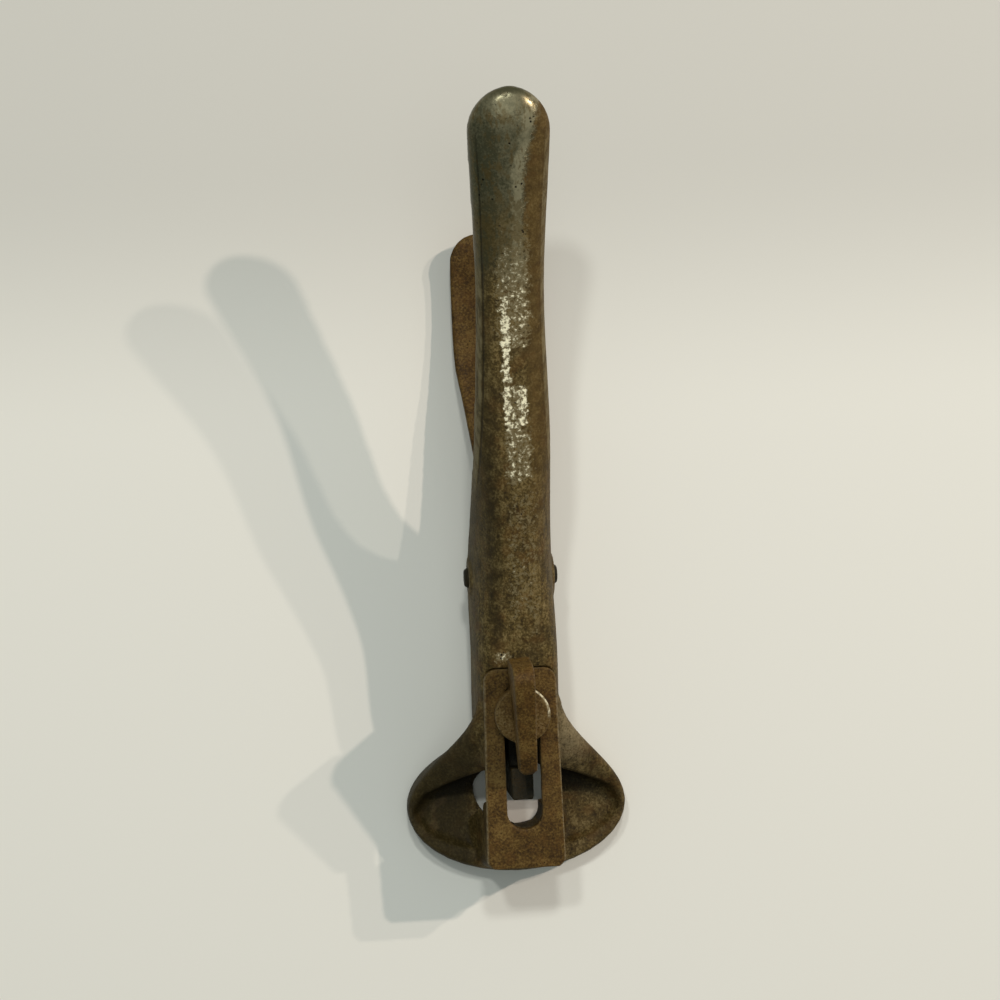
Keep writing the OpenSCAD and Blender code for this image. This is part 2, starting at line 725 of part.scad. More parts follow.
module return_spring() {
    color("gray")
        loft([for (i = [0:spring_turns * coil_rings]) coil_ring(i)], turned = true);
}

module place() {
    translate([0, -tool_len / 2, 0])
        children();
}

place() upper_handle();
place() lower_handle();
place() pivot_pin();
place() hammer();
place() gauge_plate();
place() clamp_washer();
place() thumbscrew();
place() anvil();
place() anvil_screws();
place() return_spring();
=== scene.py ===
"""Dress the saw set: rounded castings with worn nickel and rust finishes, and a plain stage."""
import json
import math

import bpy
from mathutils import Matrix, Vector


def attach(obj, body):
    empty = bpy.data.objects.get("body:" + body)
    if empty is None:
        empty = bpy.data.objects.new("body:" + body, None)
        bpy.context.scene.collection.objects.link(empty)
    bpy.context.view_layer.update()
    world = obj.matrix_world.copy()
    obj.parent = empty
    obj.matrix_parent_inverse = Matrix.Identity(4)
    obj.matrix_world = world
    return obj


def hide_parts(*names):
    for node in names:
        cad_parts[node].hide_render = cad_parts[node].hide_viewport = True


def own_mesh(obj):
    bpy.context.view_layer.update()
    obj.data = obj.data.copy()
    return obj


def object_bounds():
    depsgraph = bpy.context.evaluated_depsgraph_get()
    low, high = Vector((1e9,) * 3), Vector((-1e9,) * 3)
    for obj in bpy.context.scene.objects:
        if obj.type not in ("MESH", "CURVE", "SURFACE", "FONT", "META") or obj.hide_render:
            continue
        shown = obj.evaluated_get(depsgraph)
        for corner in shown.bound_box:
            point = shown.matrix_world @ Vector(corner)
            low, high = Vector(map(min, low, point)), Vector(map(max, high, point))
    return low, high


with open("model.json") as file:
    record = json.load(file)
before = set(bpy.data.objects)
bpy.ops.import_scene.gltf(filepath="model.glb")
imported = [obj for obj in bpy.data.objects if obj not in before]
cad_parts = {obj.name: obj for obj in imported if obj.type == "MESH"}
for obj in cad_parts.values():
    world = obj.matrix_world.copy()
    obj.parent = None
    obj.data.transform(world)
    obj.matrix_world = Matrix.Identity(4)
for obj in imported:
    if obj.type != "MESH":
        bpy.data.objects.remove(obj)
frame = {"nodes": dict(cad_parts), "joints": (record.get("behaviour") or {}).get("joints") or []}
CAD_BOX = [list(corner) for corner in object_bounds()]

bl_info = {
    "name": "Saw set",
    "version": (1, 0, 0),
    "blender": (4, 5, 0),
    "location": "3D View > Sidebar > Saw set",
    "description": "Pieces, finishes and stage of a pliers-type saw set",
    "category": "Object",
}

MM = 0.001
HEAD_FRONT = CAD_BOX[0][1]
HEAD_HALF = CAD_BOX[1][0]


def at(distance):
    """Object coordinate along the tool, from millimetres behind the front of the head."""
    return HEAD_FRONT + distance * MM


# Values worked out from the frame's joints
joints = {joint["name"]: joint for joint in frame["joints"]}
COLLAR_Y = joints["thumbscrew_turn"]["pos_m"][1]

# Where the head's tones fade into the neck's, and where the neck ends
HEAD_TO_NECK = (at(38), at(50))
NECK_END = at(60)
# The ledge behind the window, which sets where the painted shadow in front of it lies: its middle, and how
# far forward it curves towards the wings' ends
LEDGE_MIDDLE = at(27)
LEDGE_CURVE = 9.6 * MM
# The upper handle's waist: its place, half its width there, and how fast it widens, per metre
WAIST = at(134)
WAIST_HALF = 7.8 * MM
WAIST_FLARE = 1.05
# The stretch whose lower edges are scuffed, and the stretch with few specks on the crown's right
SCUFFED = (at(92), at(166))
BARE_PATCH = (at(114.8), at(122.5))
# The collar under the thumb-piece: height of its top, and the bare part of its radius
COLLAR_TOP = 32.1 * MM
COLLAR_RIM = (5.75 * MM, 6.3 * MM)
# The gauge plate: its two ends, and a little under half its width at each
PLATE_ENDS = (at(3), at(50))
PLATE_HALVES = (9.0 * MM, 8.25 * MM)

# Patches of nickel speckle along the crown, whose brightest columns are also painted highlights of the
# lamps: their share, whether their ends are ragged, then their start, end and fade along the tool, and
# their left, right and fade across it, in millimetres
SPECK_AND_HIGHLIGHT_PATCHES = (
    (0.45, False, 124, 149, 7, -4.0, 4.4, 1.8),
    (0.68, True, 114.6, 135, 2, -2.6, -0.5, 0.6),
    (0.46, True, 121, 138, 2, -0.8, 3.2, 0.8),
    (0.64, True, 104, 114.6, 0.6, -2.3, -0.3, 0.5),
    (0.53, True, 104, 114.6, 0.5, -0.4, 1.4, 0.3),
    (0.66, True, 105.4, 114.6, 0.5, 1.3, 3.2, 0.5),
    (0.46, False, 92, 106, 3, -2.2, 4.0, 1.0),
    (0.56, True, 51.6, 54, 0.8, -5.6, -2.0, 1.0),
    (0.26, False, 58, 92, 4, -2.5, 5.5, 1.6),
)

# The shader's level of reflection on dark metal, under its default
DARK_METAL_SHINE = 0.15

# The return spring's thin wire needs a finer grid and less rounding than the other pieces
WIRE_VOXEL = 0.2 * MM
WIRE_SOFTEN = 1

# The floor: its side, and where painted shade darkens it along the tool, for the light that falls off
# beyond the handles
FLOOR_SIDE = 6.0
FLOOR_FADE = (15 * MM, 85 * MM)
# The point that the lamps face, and each lamp's name, place, diameter, watts and tint
LAMP_AIM = (0.0, 0.0, 20 * MM)
LAMPS = (
    ("key", (0.9528, 0.5288, 1.0392), 0.035, 7.7, (0.96, 0.81, 0.73)),
    ("second", (1.313, 0.7285, 1.082), 0.035, 6.8, (0.96, 0.85, 0.76)),
    ("back", (-0.3503, 0.6845, 1.4201), 0.12, 4.6, (0.97, 1.0, 1.0)),
    ("rear", (-0.03, 0.7689, 1.4201), 0.14, 5.2, (0.97, 1.0, 1.0)),
    ("top", (0.0, 0.0, 1.5), 0.9, 2.4, (0.95, 1.0, 1.0)),
)
# The world light, and the camera with its turn in radians and its lens and sensor in millimetres
SKY_TINT = (0.86, 0.98, 1.0, 1.0)
SKY_STRENGTH = 0.24
CAMERA_PLACE = (-0.0533023, -0.0007011, 0.58141)
CAMERA_TURN = (0.0050, -0.0910, -0.0458)
CAMERA_LENS = 86.74
CAMERA_SENSOR = 36.0
CAMERA_CLIP = (0.01, 20.0)


def rgb(red, green, blue):
    """Linear colour of an 8-bit screen colour."""
    def line(value):
        value /= 255.0
        return value / 12.92 if value <= 0.04045 else ((value + 0.055) / 1.055) ** 2.4
    return (line(red), line(green), line(blue), 1.0)


# Materials

class Amount:
    """A number that varies over a surface: one node's output, with arithmetic and soft steps."""

    def __init__(self, coat, socket):
        self.coat = coat
        self.socket = socket

    def __add__(self, other):
        return self.coat.math("ADD", self, other)

    def __sub__(self, other):
        return self.coat.math("SUBTRACT", self, other)

    def __rsub__(self, other):
        return self.coat.math("SUBTRACT", other, self)

    def __mul__(self, other):
        return self.coat.math("MULTIPLY", self, other)

    def __truediv__(self, other):
        return self.coat.math("DIVIDE", self, other)

    def __pow__(self, other):
        return self.coat.math("POWER", self, other)

    def __abs__(self):
        return self.coat.math("ABSOLUTE", self)

    def larger(self, other):
        """Whichever of the two is larger."""
        return self.coat.math("MAXIMUM", self, other)

    def clamped(self):
        """The same result, held between nothing and one."""
        self.socket.node.use_clamp = True
        return self

    def span(self, low, high, to_low=0.0, to_high=1.0):
        """From low to high, mapped smoothly to the other two values and held at both ends."""
        step = self.coat.node("ShaderNodeMapRange", {
            "Value": self, "From Min": low, "From Max": high, "To Min": to_low, "To Max": to_high,
        }, interpolation_type="SMOOTHSTEP")
        return Amount(self.coat, step.outputs["Result"])

    def band(self, low, high, soft):
        """One between low and high, and nothing outside, with soft edges."""
        return self.span(low - soft, low + soft) * self.span(high - soft, high + soft, 1.0, 0.0)


class Coat:
    """One material, with short calls for the nodes that its pattern is made of."""

    def __init__(self, name):
        self.material = bpy.data.materials.new(name)
        self.material.use_nodes = True
        self.tree = self.material.node_tree
        self.tree.nodes.clear()
        self.shader = self.node("ShaderNodeBsdfPrincipled")
        self.node("ShaderNodeOutputMaterial", {"Surface": self.shader.outputs["BSDF"]})
        self.place = self.node("ShaderNodeTexCoord").outputs["Object"]
        axes = self.node("ShaderNodeSeparateXYZ", {0: self.place})
        self.x, self.y, self.z = (Amount(self, axis) for axis in axes.outputs)

    def feed(self, socket, value):
        """Link a node's output to a socket, or write a plain value there."""
        if isinstance(value, Amount):
            value = value.socket
        if isinstance(value, bpy.types.NodeSocket):
            self.tree.links.new(value, socket)
        else:
            socket.default_value = value

    def node(self, kind, inputs=None, **settings):
        """Add a node with its settings, and feed its inputs."""
        made = self.tree.nodes.new(kind)
        for key, value in settings.items():
            setattr(made, key, value)
        for key, value in (inputs or {}).items():
            self.feed(made.inputs[key], value)
        return made

    def math(self, operation, first, second=0.0):
        """Result of one Math node."""
        made = self.node("ShaderNodeMath", {0: first, 1: second}, operation=operation)
        return Amount(self, made.outputs[0])

    def noise(self, size, detail, rough, stretch=(1, 1, 1), start=(0, 0, 0)):
        """Noise whose features are about size millimetres across."""
        moved = self.node("ShaderNodeMapping", {"Vector": self.place, "Location": start, "Scale": stretch})
        made = self.node("ShaderNodeTexNoise", {
            "Vector": moved.outputs[0], "Scale": 1.0 / (size * MM), "Detail": detail, "Roughness": rough,
        })
        return Amount(self, made.outputs["Fac"])

    def cells(self, size):
        """Distance to the middle of cells that are about size millimetres across."""
        made = self.node("ShaderNodeTexVoronoi", {"Vector": self.place, "Scale": 1.0 / (size * MM)})
        return Amount(self, made.outputs["Distance"])

    def pointiness(self):
        """Over a half on an outer edge, and under a half in a hollow."""
        return Amount(self, self.node("ShaderNodeNewGeometry").outputs["Pointiness"])

    def blend(self, share, first, second):
        """Colour that goes from the first to the second with the share."""
        return self.node("ShaderNodeMix", {0: share, 6: first, 7: second}, data_type="RGBA").outputs[2]

    def ramp(self, amount, stops):
        """Colour read from stops of (position, colour)."""
        made = self.node("ShaderNodeValToRGB", {0: amount})
        marks = made.color_ramp.elements
        marks[0].position, marks[0].color = stops[0]
        marks[1].position, marks[1].color = stops[-1]
        for position, colour in stops[1:-1]:
            marks.new(position).color = colour
        return made.outputs[0]

    def relief(self, height, depth):
        """Bump of the given depth in millimetres."""
        return self.node("ShaderNodeBump", {"Distance": depth * MM, "Height": height}).outputs[0]

    def finished(self, values):
        """Feed the shader's sockets and hand over the material."""
        for name, value in values.items():
            self.feed(self.shader.inputs[name], value)
        return self.material


class HandleCoat(Coat):
    """Nickel left on the handle's end and along its crown, over brown iron, with painted highlights along
    the crown and painted light and shade on the end, the left side and the head.
    """

    def __init__(self, look):
        super().__init__("worn_nickel_over_iron")
        self.look = look
        self.fine = self.noise(0.55, 3.0, 0.7)
        self.grain = self.noise(0.9, 5.0, 0.7)
        self.patches = self.noise(2.8, 4.0, 0.62)
        self.cloud = self.noise(7.0, 4.0, 0.55)
        self.drawn = self.noise(1.1, 5.0, 0.7, stretch=(1.0, 0.3, 1.0))
        self.mixed = self.fine * 0.45 + self.patches * 0.25 + self.drawn * 0.3
        # coordinates that give borders a ragged edge, or let them wander along the tool
        off = self.noise(1.8, 5.0, 0.7, start=(0.3, 0.1, 0.2)) - 0.5
        self.ragged_x = self.x + off * (4.5 * MM)
        self.ragged_y = self.y + off * (1.6 * MM)
        self.wandering_y = self.y + (self.cloud - 0.5) * (22 * MM)

    def brown_iron(self):
        """Grained iron, darker and greener down the left side, partly painted shade, and rust brown down
        the right.
        """
        look = self.look
        iron = self.ramp(self.mixed, [(0.4, look.iron_dark), (0.5, look.iron), (0.6, look.iron_light)])
        iron = self.blend(self.cloud.span(0.46, 0.66, 0.0, 0.45), iron, look.iron_dark)
        orange = self.noise(4.2, 4.0, 0.6, start=(0.5, 0.2, 0.1))
        iron = self.blend(orange.span(0.48, 0.66, 0.0, 0.32), iron, look.rust_orange)
        # the left side, greener and partly darkened as painted shade, with a band of painted shade along
        # the neck's left flank; and the right side
        left = self.x.span(-6.8 * MM, -3.6 * MM, 1.0, 0.0) * self.y.span(NECK_END, at(90))
        iron = self.blend(left * 0.5, iron, look.side)
        # painted shade: a darker band along the neck's left flank, broken up by patches
        left_flank_shade = self.x.band(-6.6 * MM, -3.6 * MM, 0.9 * MM) * self.y.band(at(52), at(112), 8 * MM)
        iron = self.blend(left_flank_shade * self.patches.span(0.36, 0.6, 0.75, 0.3), iron, look.iron_dark)
        right = self.ragged_x.span(2.2 * MM, 4.4 * MM) * self.y.span(NECK_END, at(110))
        rust = self.blend(self.patches, look.rust_dark, look.rust_light)
        return self.blend(right * 0.6, iron, rust)

    def lower_edges(self, iron):
        """The iron with the handle's lower edges scuffed, and the share of the crease above them, whose
        dark line is painted shade.
        """
        behind_waist = self.y - WAIST
        half = behind_waist * behind_waist * WAIST_FLARE + WAIST_HALF
        inward = half - abs(self.x)
        along = self.y.band(*SCUFFED, 7 * MM)
        scuff = inward.span(1.0 * MM, 1.3 * MM, 1.0, 0.0) * self.drawn.span(0.4, 0.6, 0.25, 1.0) * along
        # the crease's dark line is painted shade, stronger on the left side
        crease = inward.band(1.3 * MM, 1.65 * MM, 0.1 * MM) * along
        crease = crease * self.x.span(-2 * MM, 2 * MM, 0.5, 0.1)
        return self.blend(scuff * 0.6, iron, self.look.scuff), crease

    def nickel_end(self):
        """Nickel of the handle's end, with painted shade on the left and at the very end and painted light
        towards the rust and near the tip, and its share.
        """
        look = self.look
        border = self.ragged_x - self.y.span(at(158), at(176), 0.0, 3.4 * MM)
        share = self.wandering_y.span(at(132), at(156)) * border.span(2.2 * MM, 3.8 * MM, 1.0, 0.0)
        share = share * self.patches.span(0.36, 0.44, 0.8, 1.0)
        # painted light along the border and near the tip, and painted shade on the left and at the very end
        painted_light_tone = self.x.span(-5.5 * MM, -1.0 * MM, 0.0, 0.3) + border.band(0.4 * MM, 2.6 * MM, 0.9 * MM)
        painted_light_tone = painted_light_tone * self.cloud.span(0.36, 0.62, 0.55, 1.0) + self.mixed.span(0.38, 0.62, -0.22, 0.22)
        painted_light_tone = (painted_light_tone + self.y.span(at(167), at(173), 0.0, 0.35)).clamped()
        painted_light_tone = painted_light_tone * self.y.span(at(175.4), at(177.4), 1.0, 0.2)
        nickel = self.blend(painted_light_tone, look.nickel_tarnish_and_shade, look.nickel)
        # iron showing through, in streaks and in a belt where the nickel begins
        streaks = self.drawn.span(0.48, 0.58) * self.cloud.span(0.4, 0.56)
        worn_belt = self.y.band(at(143), at(153), 5 * MM) * self.patches.span(0.4, 0.56)
        stain = (streaks + worn_belt).clamped()
        return self.blend(stain * 0.65, nickel, look.iron), share

    def speck_and_highlight_level(self):
        """How strongly nickel speckle and painted highlights show, in patches along the crown."""
        density = None
        for share, ragged, start, end, fade, left, right, side_fade in SPECK_AND_HIGHLIGHT_PATCHES:
            y = self.ragged_y if ragged else self.wandering_y
            patch = y.band(at(start), at(end), fade * MM)
            patch = patch * self.ragged_x.band(left * MM, right * MM, side_fade * MM) * share
            density = patch if density is None else density.larger(patch)
        bare = self.ragged_y.band(*BARE_PATCH, 0.5 * MM) * self.ragged_x.band(-0.5 * MM, 4.0 * MM, 0.5 * MM)
        density = density * bare.span(0.0, 1.0, 1.0, 0.35)
        level = density + (self.grain - 0.5) * 1.7
        return level * density.span(0.05, 0.2)

    def head_tones(self, colour):
        """Olive left wing with painted shadow, painted shade in the hollows and in front of the ledge, worn
        edges and painted light on the right shoulder.
        """
        look = self.look
        head = self.y.span(*HEAD_TO_NECK, 1.0, 0.0)
        # the left wing is olive and darkened by painted shadow of the neck and plate, away from the lamps
        wing = head * self.x.span(-9 * MM, -13 * MM)
        colour = self.blend(wing * 0.7, colour, look.olive_and_shade)
        colour = self.blend(head * 0.22, colour, look.rust_dark)
        # painted shadow of the ledge on the low hollow in front of it; the ledge curves forward towards the
        # wings' ends
        reach = (abs(self.x) / HEAD_HALF) ** 1.6
        before_ledge = LEDGE_MIDDLE - reach * LEDGE_CURVE - self.y
        hollow = head * before_ledge.span(-0.9 * MM, 0.6 * MM)
        hollow = hollow * before_ledge.span(1.5 * MM, 8.0 * MM, 1.0, 0.0)
        hollow = hollow * reach.span(0.3, 0.9, 1.0, 0.35) * self.z.span(11 * MM, 15 * MM, 1.0, 0.0)
        colour = self.blend(hollow * 0.8, colour, look.pit_and_shade)
        # painted shade in the head's concave places
        concave_shade = head * self.pointiness().span(0.44, 0.495, 1.0, 0.0)
        colour = self.blend(concave_shade * 0.75, colour, look.pit_and_shade)
        edge = self.pointiness().span(0.52, 0.58) * self.grain.span(0.42, 0.58)
        colour = self.blend(edge * 0.5, colour, look.worn_edge_and_light)
        # painted light on the right shoulder, the side that faces the lamps
        shoulder = self.y.band(at(28), at(41), 4 * MM) * self.x.band(8.5 * MM, 16 * MM, 2.5 * MM)
        shoulder = shoulder * self.mixed.span(0.4, 0.55, 0.3, 1.0)
        return self.blend(shoulder * 0.7, colour, look.worn_edge_and_light)

    def painted(self):
        """The whole finish, layer over layer."""
        look = self.look
        iron, crease = self.lower_edges(self.brown_iron())
        nickel, end = self.nickel_end()
        level = self.speck_and_highlight_level()
        # the brightest columns of nickel speckle are also painted highlights of the lamps along the crown
        specks_and_highlights = level.span(0.27, 0.42)
        speck_and_highlight_colour = self.blend(level.span(0.5, 0.78), look.tan, look.nickel_bright_and_highlight)
        colour = self.blend(specks_and_highlights, iron, speck_and_highlight_colour)
        colour = self.blend(end, colour, nickel)
        # pits through the nickel
        pits = self.cells(1.3).span(0.1, 0.28, 1.0, 0.0) * self.patches.span(0.53, 0.62)
        pits = pits * end.larger(specks_and_highlights)
        colour = self.blend(pits, colour, look.pit_and_shade)
        # painted shade along the crease
        colour = self.blend(crease, colour, look.pit_and_shade)
        smooth = end.larger(specks_and_highlights * 0.4)
        height = (self.grain + self.fine * 0.4 - (pits + crease)) * smooth.span(0.3, 1.0, 1.0, 0.14)
        return self.finished({
            "Base Color": self.head_tones(colour),
            "Metallic": (end * 0.4).larger(specks_and_highlights * 0.3),
            "Roughness": smooth.span(0.0, 1.0, 0.6, 0.24),
            "Specular IOR Level": DARK_METAL_SHINE,
            "Normal": self.relief(height, 0.2),
        })


class RustCoat(Coat):
    """Even rust brown with grain, pitted, and lighter where its edges are worn."""

    def __init__(self, name, look, dark, middle, light, size=1.0, warmth=0.3):
        super().__init__(name)
        self.look = look
        self.size = size
        self.grain = self.noise(0.9 * size, 5.0, 0.68)
        self.cloud = self.noise(4.5 * size, 4.0, 0.55)
        self.fine = self.noise(0.5 * size, 3.0, 0.7)
        self.mixed = self.fine * 0.6 + self.cloud * 0.4
        orange = self.noise(3.2 * size, 3.0, 0.6, start=(0.1, 0.2, 0.4))
        colour = self.ramp(self.mixed, [(0.39, dark), (0.49, middle), (0.61, light)])
        self.colour = self.blend(orange.span(0.46, 0.66, 0.0, warmth), colour, look.rust_orange)

    def lighten_collar(self):
        """Make the collar under the thumb-piece lighter, with a painted highlight along an arc of its rim
        on the right.
        """
        look = self.look
        bright = self.ramp(self.mixed, [(0.38, look.rust), (0.5, look.rust_light), (0.62, look.worn_edge_and_light)])
        collar = self.z.span(COLLAR_TOP, COLLAR_TOP + 0.4 * MM, 1.0, 0.0)
        self.colour = self.blend(collar * 0.28, self.colour, bright)
        # painted highlight along the arc of the collar's rim that faces the lamps
        back = self.y - COLLAR_Y
        radius = (back * back + self.x * self.x) ** 0.5
        arc = collar * radius.band(*COLLAR_RIM, 0.12 * MM)
        arc = arc * self.x.span(1.5 * MM, 3.0 * MM) * back.span(-1.5 * MM, 1.0 * MM)
        arc = arc * self.grain.span(0.4, 0.55, 0.15, 0.75)
        self.colour = self.blend(arc, self.colour, look.nickel_bright_and_highlight)
        return self

    def lighten_rims(self):
        """Draw a lighter line along the gauge plate's two sides."""
        half = self.y.span(*PLATE_ENDS, *PLATE_HALVES)
        rim = (half - abs(self.x)).span(0.05 * MM, 0.32 * MM, 1.0, 0.0)
        rim = rim * self.grain.span(0.42, 0.6, 0.15, 0.7)
        self.colour = self.blend(rim, self.colour, self.look.worn_edge_and_light)
        return self

    def painted(self, edge_colour, edge_share):
        """The whole finish, with its pits and with its edges worn to the edge colour."""
        pits = self.cells(1.1 * self.size).span(0.08, 0.22, 1.0, 0.0) * self.cloud.span(0.48, 0.62)
        colour = self.blend(pits * 0.7, self.colour, self.look.pit_and_shade)
        edge = self.pointiness().span(0.52, 0.6) * self.grain.span(0.35, 0.6, 0.4, 1.0)
        return self.finished({
            "Base Color": self.blend(edge * edge_share, colour, edge_colour),
            "Metallic": edge * 0.3,
            "Roughness": self.grain.span(0.3, 0.7, 0.7, 0.5),
            "Specular IOR Level": DARK_METAL_SHINE,
            "Normal": self.relief(self.grain + self.fine * 0.4 - pits, 0.14),
        })


# Making a piece

def deselect():
    bpy.ops.object.select_all(action="DESELECT")


def cast_copy(node, name, voxel, passes):
    """Rounded copy of a CAD node: its edges are softened as a casting's or a worn part's are."""
    piece = bpy.data.objects.new(name, frame["nodes"][node].data.copy())
    bpy.context.scene.collection.objects.link(piece)
    deselect()
    piece.select_set(True)
    bpy.context.view_layer.objects.active = piece
    bpy.ops.object.mode_set(mode="EDIT")
    bpy.ops.mesh.select_all(action="SELECT")
    bpy.ops.mesh.remove_doubles(threshold=0.001 * MM)
    bpy.ops.object.mode_set(mode="OBJECT")
    skin = piece.modifiers.new("skin", "REMESH")
    skin.mode = "VOXEL"
    skin.voxel_size = voxel
    bpy.ops.object.modifier_apply(modifier=skin.name)
    soften = piece.modifiers.new("soften", "SMOOTH")
    soften.factor = 0.5
    soften.iterations = passes
    bpy.ops.object.modifier_apply(modifier=soften.name)
    bpy.ops.object.shade_smooth()
    if not piece.data.polygons:
        raise RuntimeError(name + " came out empty")
    return piece


def settle(piece, body, node, material):
    """Give a piece its finish and its body, and hide the CAD node that it stands for."""
    piece.data.materials.clear()
    piece.data.materials.append(material)
    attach(piece, body)
    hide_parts(node)


def recolour(node, material):
    """Give a CAD node that keeps its shape a better finish."""
    for slot in frame["nodes"][node].material_slots:
        slot.material = material


# Making the stage

def add_floor(look):
    """Add the floor, pale round the tool, with painted shade making it a little darker beyond the handles.
    """
    deselect()
    bpy.ops.mesh.primitive_plane_add(size=FLOOR_SIDE, location=(0, 0, 0))
    floor = bpy.context.object
    floor.name = "floor"
    coat = Coat("pale_floor")
    # painted shade darkens the floor beyond the handles
    shade = coat.blend(coat.y.span(*FLOOR_FADE), look.floor, look.floor_far_shade)
    floor.data.materials.append(coat.finished({"Base Color": shade, "Roughness": 0.85}))


def add_lamp(name, place, diameter, power, tint):
    """Add a round lamp that faces the tool."""
    lamp = bpy.data.lights.new(name, "AREA")
    lamp.shape = "DISK"
    lamp.size = diameter
    lamp.energy = power
    lamp.color = tint
    holder = bpy.data.objects.new(name, lamp)
    bpy.context.scene.collection.objects.link(holder)
    holder.location = place
    x, y, z = (aim - start for aim, start in zip(LAMP_AIM, place))
    holder.rotation_euler = (math.atan2(math.hypot(x, y), -z), 0.0, math.atan2(y, x) - math.pi / 2)


def add_sky():
    """Add the plain world light."""
    sky = bpy.data.worlds.new("soft_sky")
    sky.use_nodes = True
    light = sky.node_tree.nodes["Background"].inputs
    light["Color"].default_value = SKY_TINT
    light["Strength"].default_value = SKY_STRENGTH
    bpy.context.scene.world = sky


def add_camera():
    """Add the camera at the photograph's viewing angle."""
    lens = bpy.data.cameras.new("camera")
    lens.sensor_width = CAMERA_SENSOR
    lens.lens = CAMERA_LENS
    lens.clip_start, lens.clip_end = CAMERA_CLIP
    camera = bpy.data.objects.new("camera", lens)
    bpy.context.scene.collection.objects.link(camera)
    camera.location = CAMERA_PLACE
    camera.rotation_euler = CAMERA_TURN
    bpy.context.scene.camera = camera


# Values that a user would change

def colour_value(name, description, colour):
    """A colour property with its default."""
    return bpy.props.FloatVectorProperty(name=name, description=description, size=4, min=0.0,
                                         max=1.0, subtype="COLOR", default=colour)


class SawSetSizes(bpy.types.PropertyGroup):
    """How finely the CAD nodes are copied, and how much their edges are rounded"""
    cast_voxel: bpy.props.FloatProperty(
        name="Casting grid", description="Mesh size of the two cast handles",
        default=0.0005, min=0.0004, max=0.002, unit="LENGTH")
    small_voxel: bpy.props.FloatProperty(
        name="Small part grid", description="Mesh size of the small steel parts",
        default=0.0003, min=0.0002, max=0.001, unit="LENGTH")
    cast_soften: bpy.props.IntProperty(
        name="Casting rounding", description="Smoothing passes on the castings' edges",
        default=6, min=0, max=20)
    small_soften: bpy.props.IntProperty(
        name="Small part rounding", description="Smoothing passes on the small parts' edges",
        default=2, min=0, max=20)


class SawSetColours(bpy.types.PropertyGroup):
    """Colours of the finishes and of the floor"""
    # bright nickel, also painted highlights of the lamps along the crown and on the collar's rim
    nickel_bright_and_highlight: colour_value("Bright nickel", "Bright specks along the crown", rgb(250, 242, 206))
    tan: colour_value("Worn nickel", "Worn nickel between the specks", rgb(114, 101, 70))
    nickel: colour_value("Nickel", "Nickel on the handle's end", rgb(140, 133, 104))
    # tarnished nickel, also painted shade on the left of the handle's end and at its very end
    nickel_tarnish_and_shade: colour_value("Dull nickel", "Tarnished nickel", rgb(67, 66, 46))
    scuff: colour_value("Scuffed side", "Scuffed lower edges of the handle", rgb(126, 115, 84))
    # the left side's greener tint, also painted shade on the side away from the lamps
    side: colour_value("Side", "Left side of the handle", rgb(54, 45, 20))
    # the left wing's olive is also painted shadow of the neck and plate
    olive_and_shade: colour_value("Left wing", "Olive iron of the left wing", rgb(38, 33, 10))
    iron: colour_value("Iron", "Bare brown iron", rgb(80, 65, 30))
    iron_dark: colour_value("Dark iron", "Darkest patches of the iron", rgb(40, 30, 8))
    iron_light: colour_value("Light iron", "Lightest patches of the iron", rgb(122, 105, 66))
    rust: colour_value("Rust", "Rust of the lower handle and the gauge", rgb(76, 55, 19))
    rust_dark: colour_value("Dark rust", "Dark patches of rust", rgb(46, 30, 5))
    rust_light: colour_value("Light rust", "Light patches of rust", rgb(104, 82, 40))
    rust_orange: colour_value("Orange rust", "Fresh patches of rust", rgb(92, 62, 24))
    # bottom of the pits, also used as painted shade in the head's hollows, before the ledge and along the
    # crease
    pit_and_shade: colour_value("Pits", "Bottom of the pits", rgb(14, 11, 4))
    # bare metal of worn edges, also used as painted light on the head's right shoulder
    worn_edge_and_light: colour_value("Worn edge", "Bare metal along the edges", rgb(130, 116, 86))
    steel: colour_value("Dark steel", "Pin, hammer and hidden steel", rgb(32, 29, 16))
    floor: colour_value("Floor", "Plain pale floor", rgb(226, 224, 213))
    # painted shade: the floor beyond the handles, where the light falls off
    floor_far_shade: colour_value("Far floor", "Floor beyond the handles, a little darker", rgb(201, 199, 189))


# Operators

class SAWSET_OT_upper_handle(bpy.types.Operator):
    """Make the cast upper handle with its winged head"""
    bl_idname = "saw_set.upper_handle"
    bl_label = "Upper handle"

    def execute(self, context):
        sizes, look = context.scene.saw_set_sizes, context.scene.saw_set_colours
        piece = cast_copy("upper_handle", "upper_handle_casting", sizes.cast_voxel, sizes.cast_soften)
        settle(piece, "frame", "upper_handle", HandleCoat(look).painted())
        return {"FINISHED"}


class SAWSET_OT_lower_handle(bpy.types.Operator):
    """Make the cast lower handle"""
    bl_idname = "saw_set.lower_handle"
    bl_label = "Lower handle"

    def execute(self, context):
        sizes, look = context.scene.saw_set_sizes, context.scene.saw_set_colours
        piece = cast_copy("lower_handle", "lower_handle_casting", sizes.cast_voxel, sizes.cast_soften)
        coat = RustCoat("matt_rust_brown", look, look.rust_dark, look.rust, look.rust_light)
        settle(piece, "lever", "lower_handle", coat.painted(look.rust_light, 0.4))
        return {"FINISHED"}


class SAWSET_OT_gauge_parts(bpy.types.Operator):
    """Make the gauge plate, its washer and the thumbscrew"""
    bl_idname = "saw_set.gauge_parts"
    bl_label = "Gauge plate and thumbscrew"

    def execute(self, context):
        sizes, look = context.scene.saw_set_sizes, context.scene.saw_set_colours
        shades = (look.rust_dark, look.rust, look.rust_light)
        covers = (("gauge_plate", "gauge", RustCoat("rusted_plate", look, *shades).lighten_rims()),
                  ("clamp_washer", "frame", RustCoat("rusted_washer", look, *shades)),
                  ("thumbscrew", "screw", RustCoat("rusted_thumb_piece", look, *shades).lighten_collar()))
        for node, body, coat in covers:
            piece = cast_copy(node, node + "_worn", sizes.small_voxel, sizes.small_soften)
            settle(piece, body, node, coat.painted(look.worn_edge_and_light, 0.75))
        return {"FINISHED"}


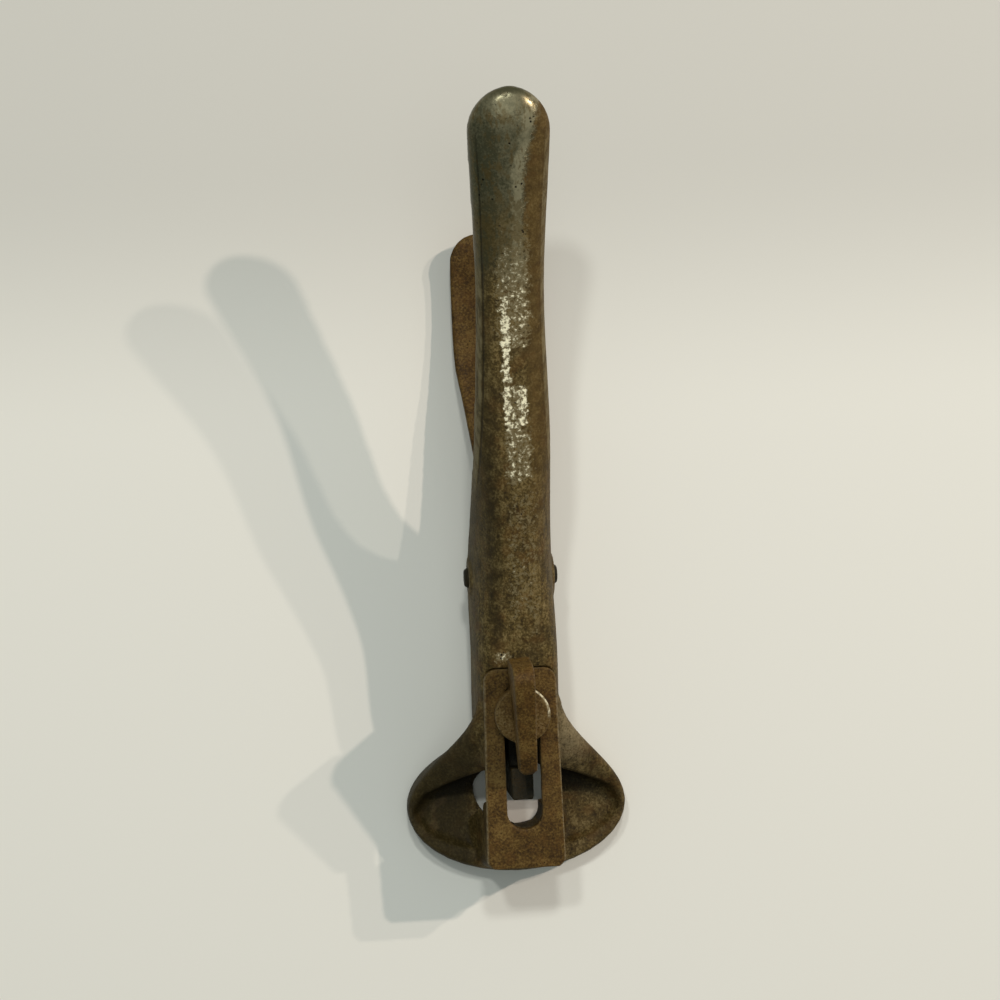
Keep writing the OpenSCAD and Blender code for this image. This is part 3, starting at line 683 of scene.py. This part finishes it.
class SAWSET_OT_dark_steel(bpy.types.Operator):
    """Make the pin, the hammer and its spring, and finish the anvil and its screws"""
    bl_idname = "saw_set.dark_steel"
    bl_label = "Pin, hammer and hidden steel"

    def execute(self, context):
        sizes, look = context.scene.saw_set_sizes, context.scene.saw_set_colours
        coat = RustCoat("dark_hardened_steel", look, look.pit_and_shade, look.steel, look.iron_dark,
                        size=0.8, warmth=0.0)
        steel = coat.painted(look.iron, 0.5)
        for node, body in (("pivot_pin", "frame"), ("hammer", "hammer")):
            piece = cast_copy(node, node + "_worn", sizes.small_voxel, sizes.small_soften)
            settle(piece, body, node, steel)
        for node in ("anvil", "anvil_screws"):
            recolour(node, steel)
        spring = cast_copy("return_spring", "return_spring_wire", WIRE_VOXEL, WIRE_SOFTEN)
        settle(spring, "frame", "return_spring", steel)
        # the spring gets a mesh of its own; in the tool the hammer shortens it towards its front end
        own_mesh(spring)
        return {"FINISHED"}


class SAWSET_OT_stage(bpy.types.Operator):
    """Make the floor, the lamps and the camera"""
    bl_idname = "saw_set.stage"
    bl_label = "Stage"

    def execute(self, context):
        context.scene.view_settings.view_transform = "Standard"
        add_floor(context.scene.saw_set_colours)
        for lamp in LAMPS:
            add_lamp(*lamp)
        add_sky()
        add_camera()
        return {"FINISHED"}


class SAWSET_PT_panel(bpy.types.Panel):
    """Lists the operators and values of the saw set"""
    bl_idname = "SAWSET_PT_panel"
    bl_label = "Saw set"
    bl_space_type = "VIEW_3D"
    bl_region_type = "UI"
    bl_category = "Saw set"

    def draw(self, context):
        column = self.layout.column()
        for group in (context.scene.saw_set_sizes, context.scene.saw_set_colours):
            for key in group.bl_rna.properties.keys():
                if key not in ("rna_type", "name"):
                    column.prop(group, key)
        for operator in OPERATORS:
            column.operator(operator.bl_idname)


GROUPS = (SawSetSizes, SawSetColours)
OPERATORS = (SAWSET_OT_upper_handle, SAWSET_OT_lower_handle, SAWSET_OT_gauge_parts,
             SAWSET_OT_dark_steel, SAWSET_OT_stage)


def register():
    for item in GROUPS + OPERATORS + (SAWSET_PT_panel,):
        bpy.utils.register_class(item)
    bpy.types.Scene.saw_set_sizes = bpy.props.PointerProperty(type=SawSetSizes)
    bpy.types.Scene.saw_set_colours = bpy.props.PointerProperty(type=SawSetColours)


def unregister():
    del bpy.types.Scene.saw_set_colours
    del bpy.types.Scene.saw_set_sizes
    for item in reversed(GROUPS + OPERATORS + (SAWSET_PT_panel,)):
        bpy.utils.unregister_class(item)


def main():
    register()
    for operator in OPERATORS:
        group, call = operator.bl_idname.split(".")
        getattr(getattr(bpy.ops, group), call)()
    deselect()


if __name__ == "__main__":
    main()
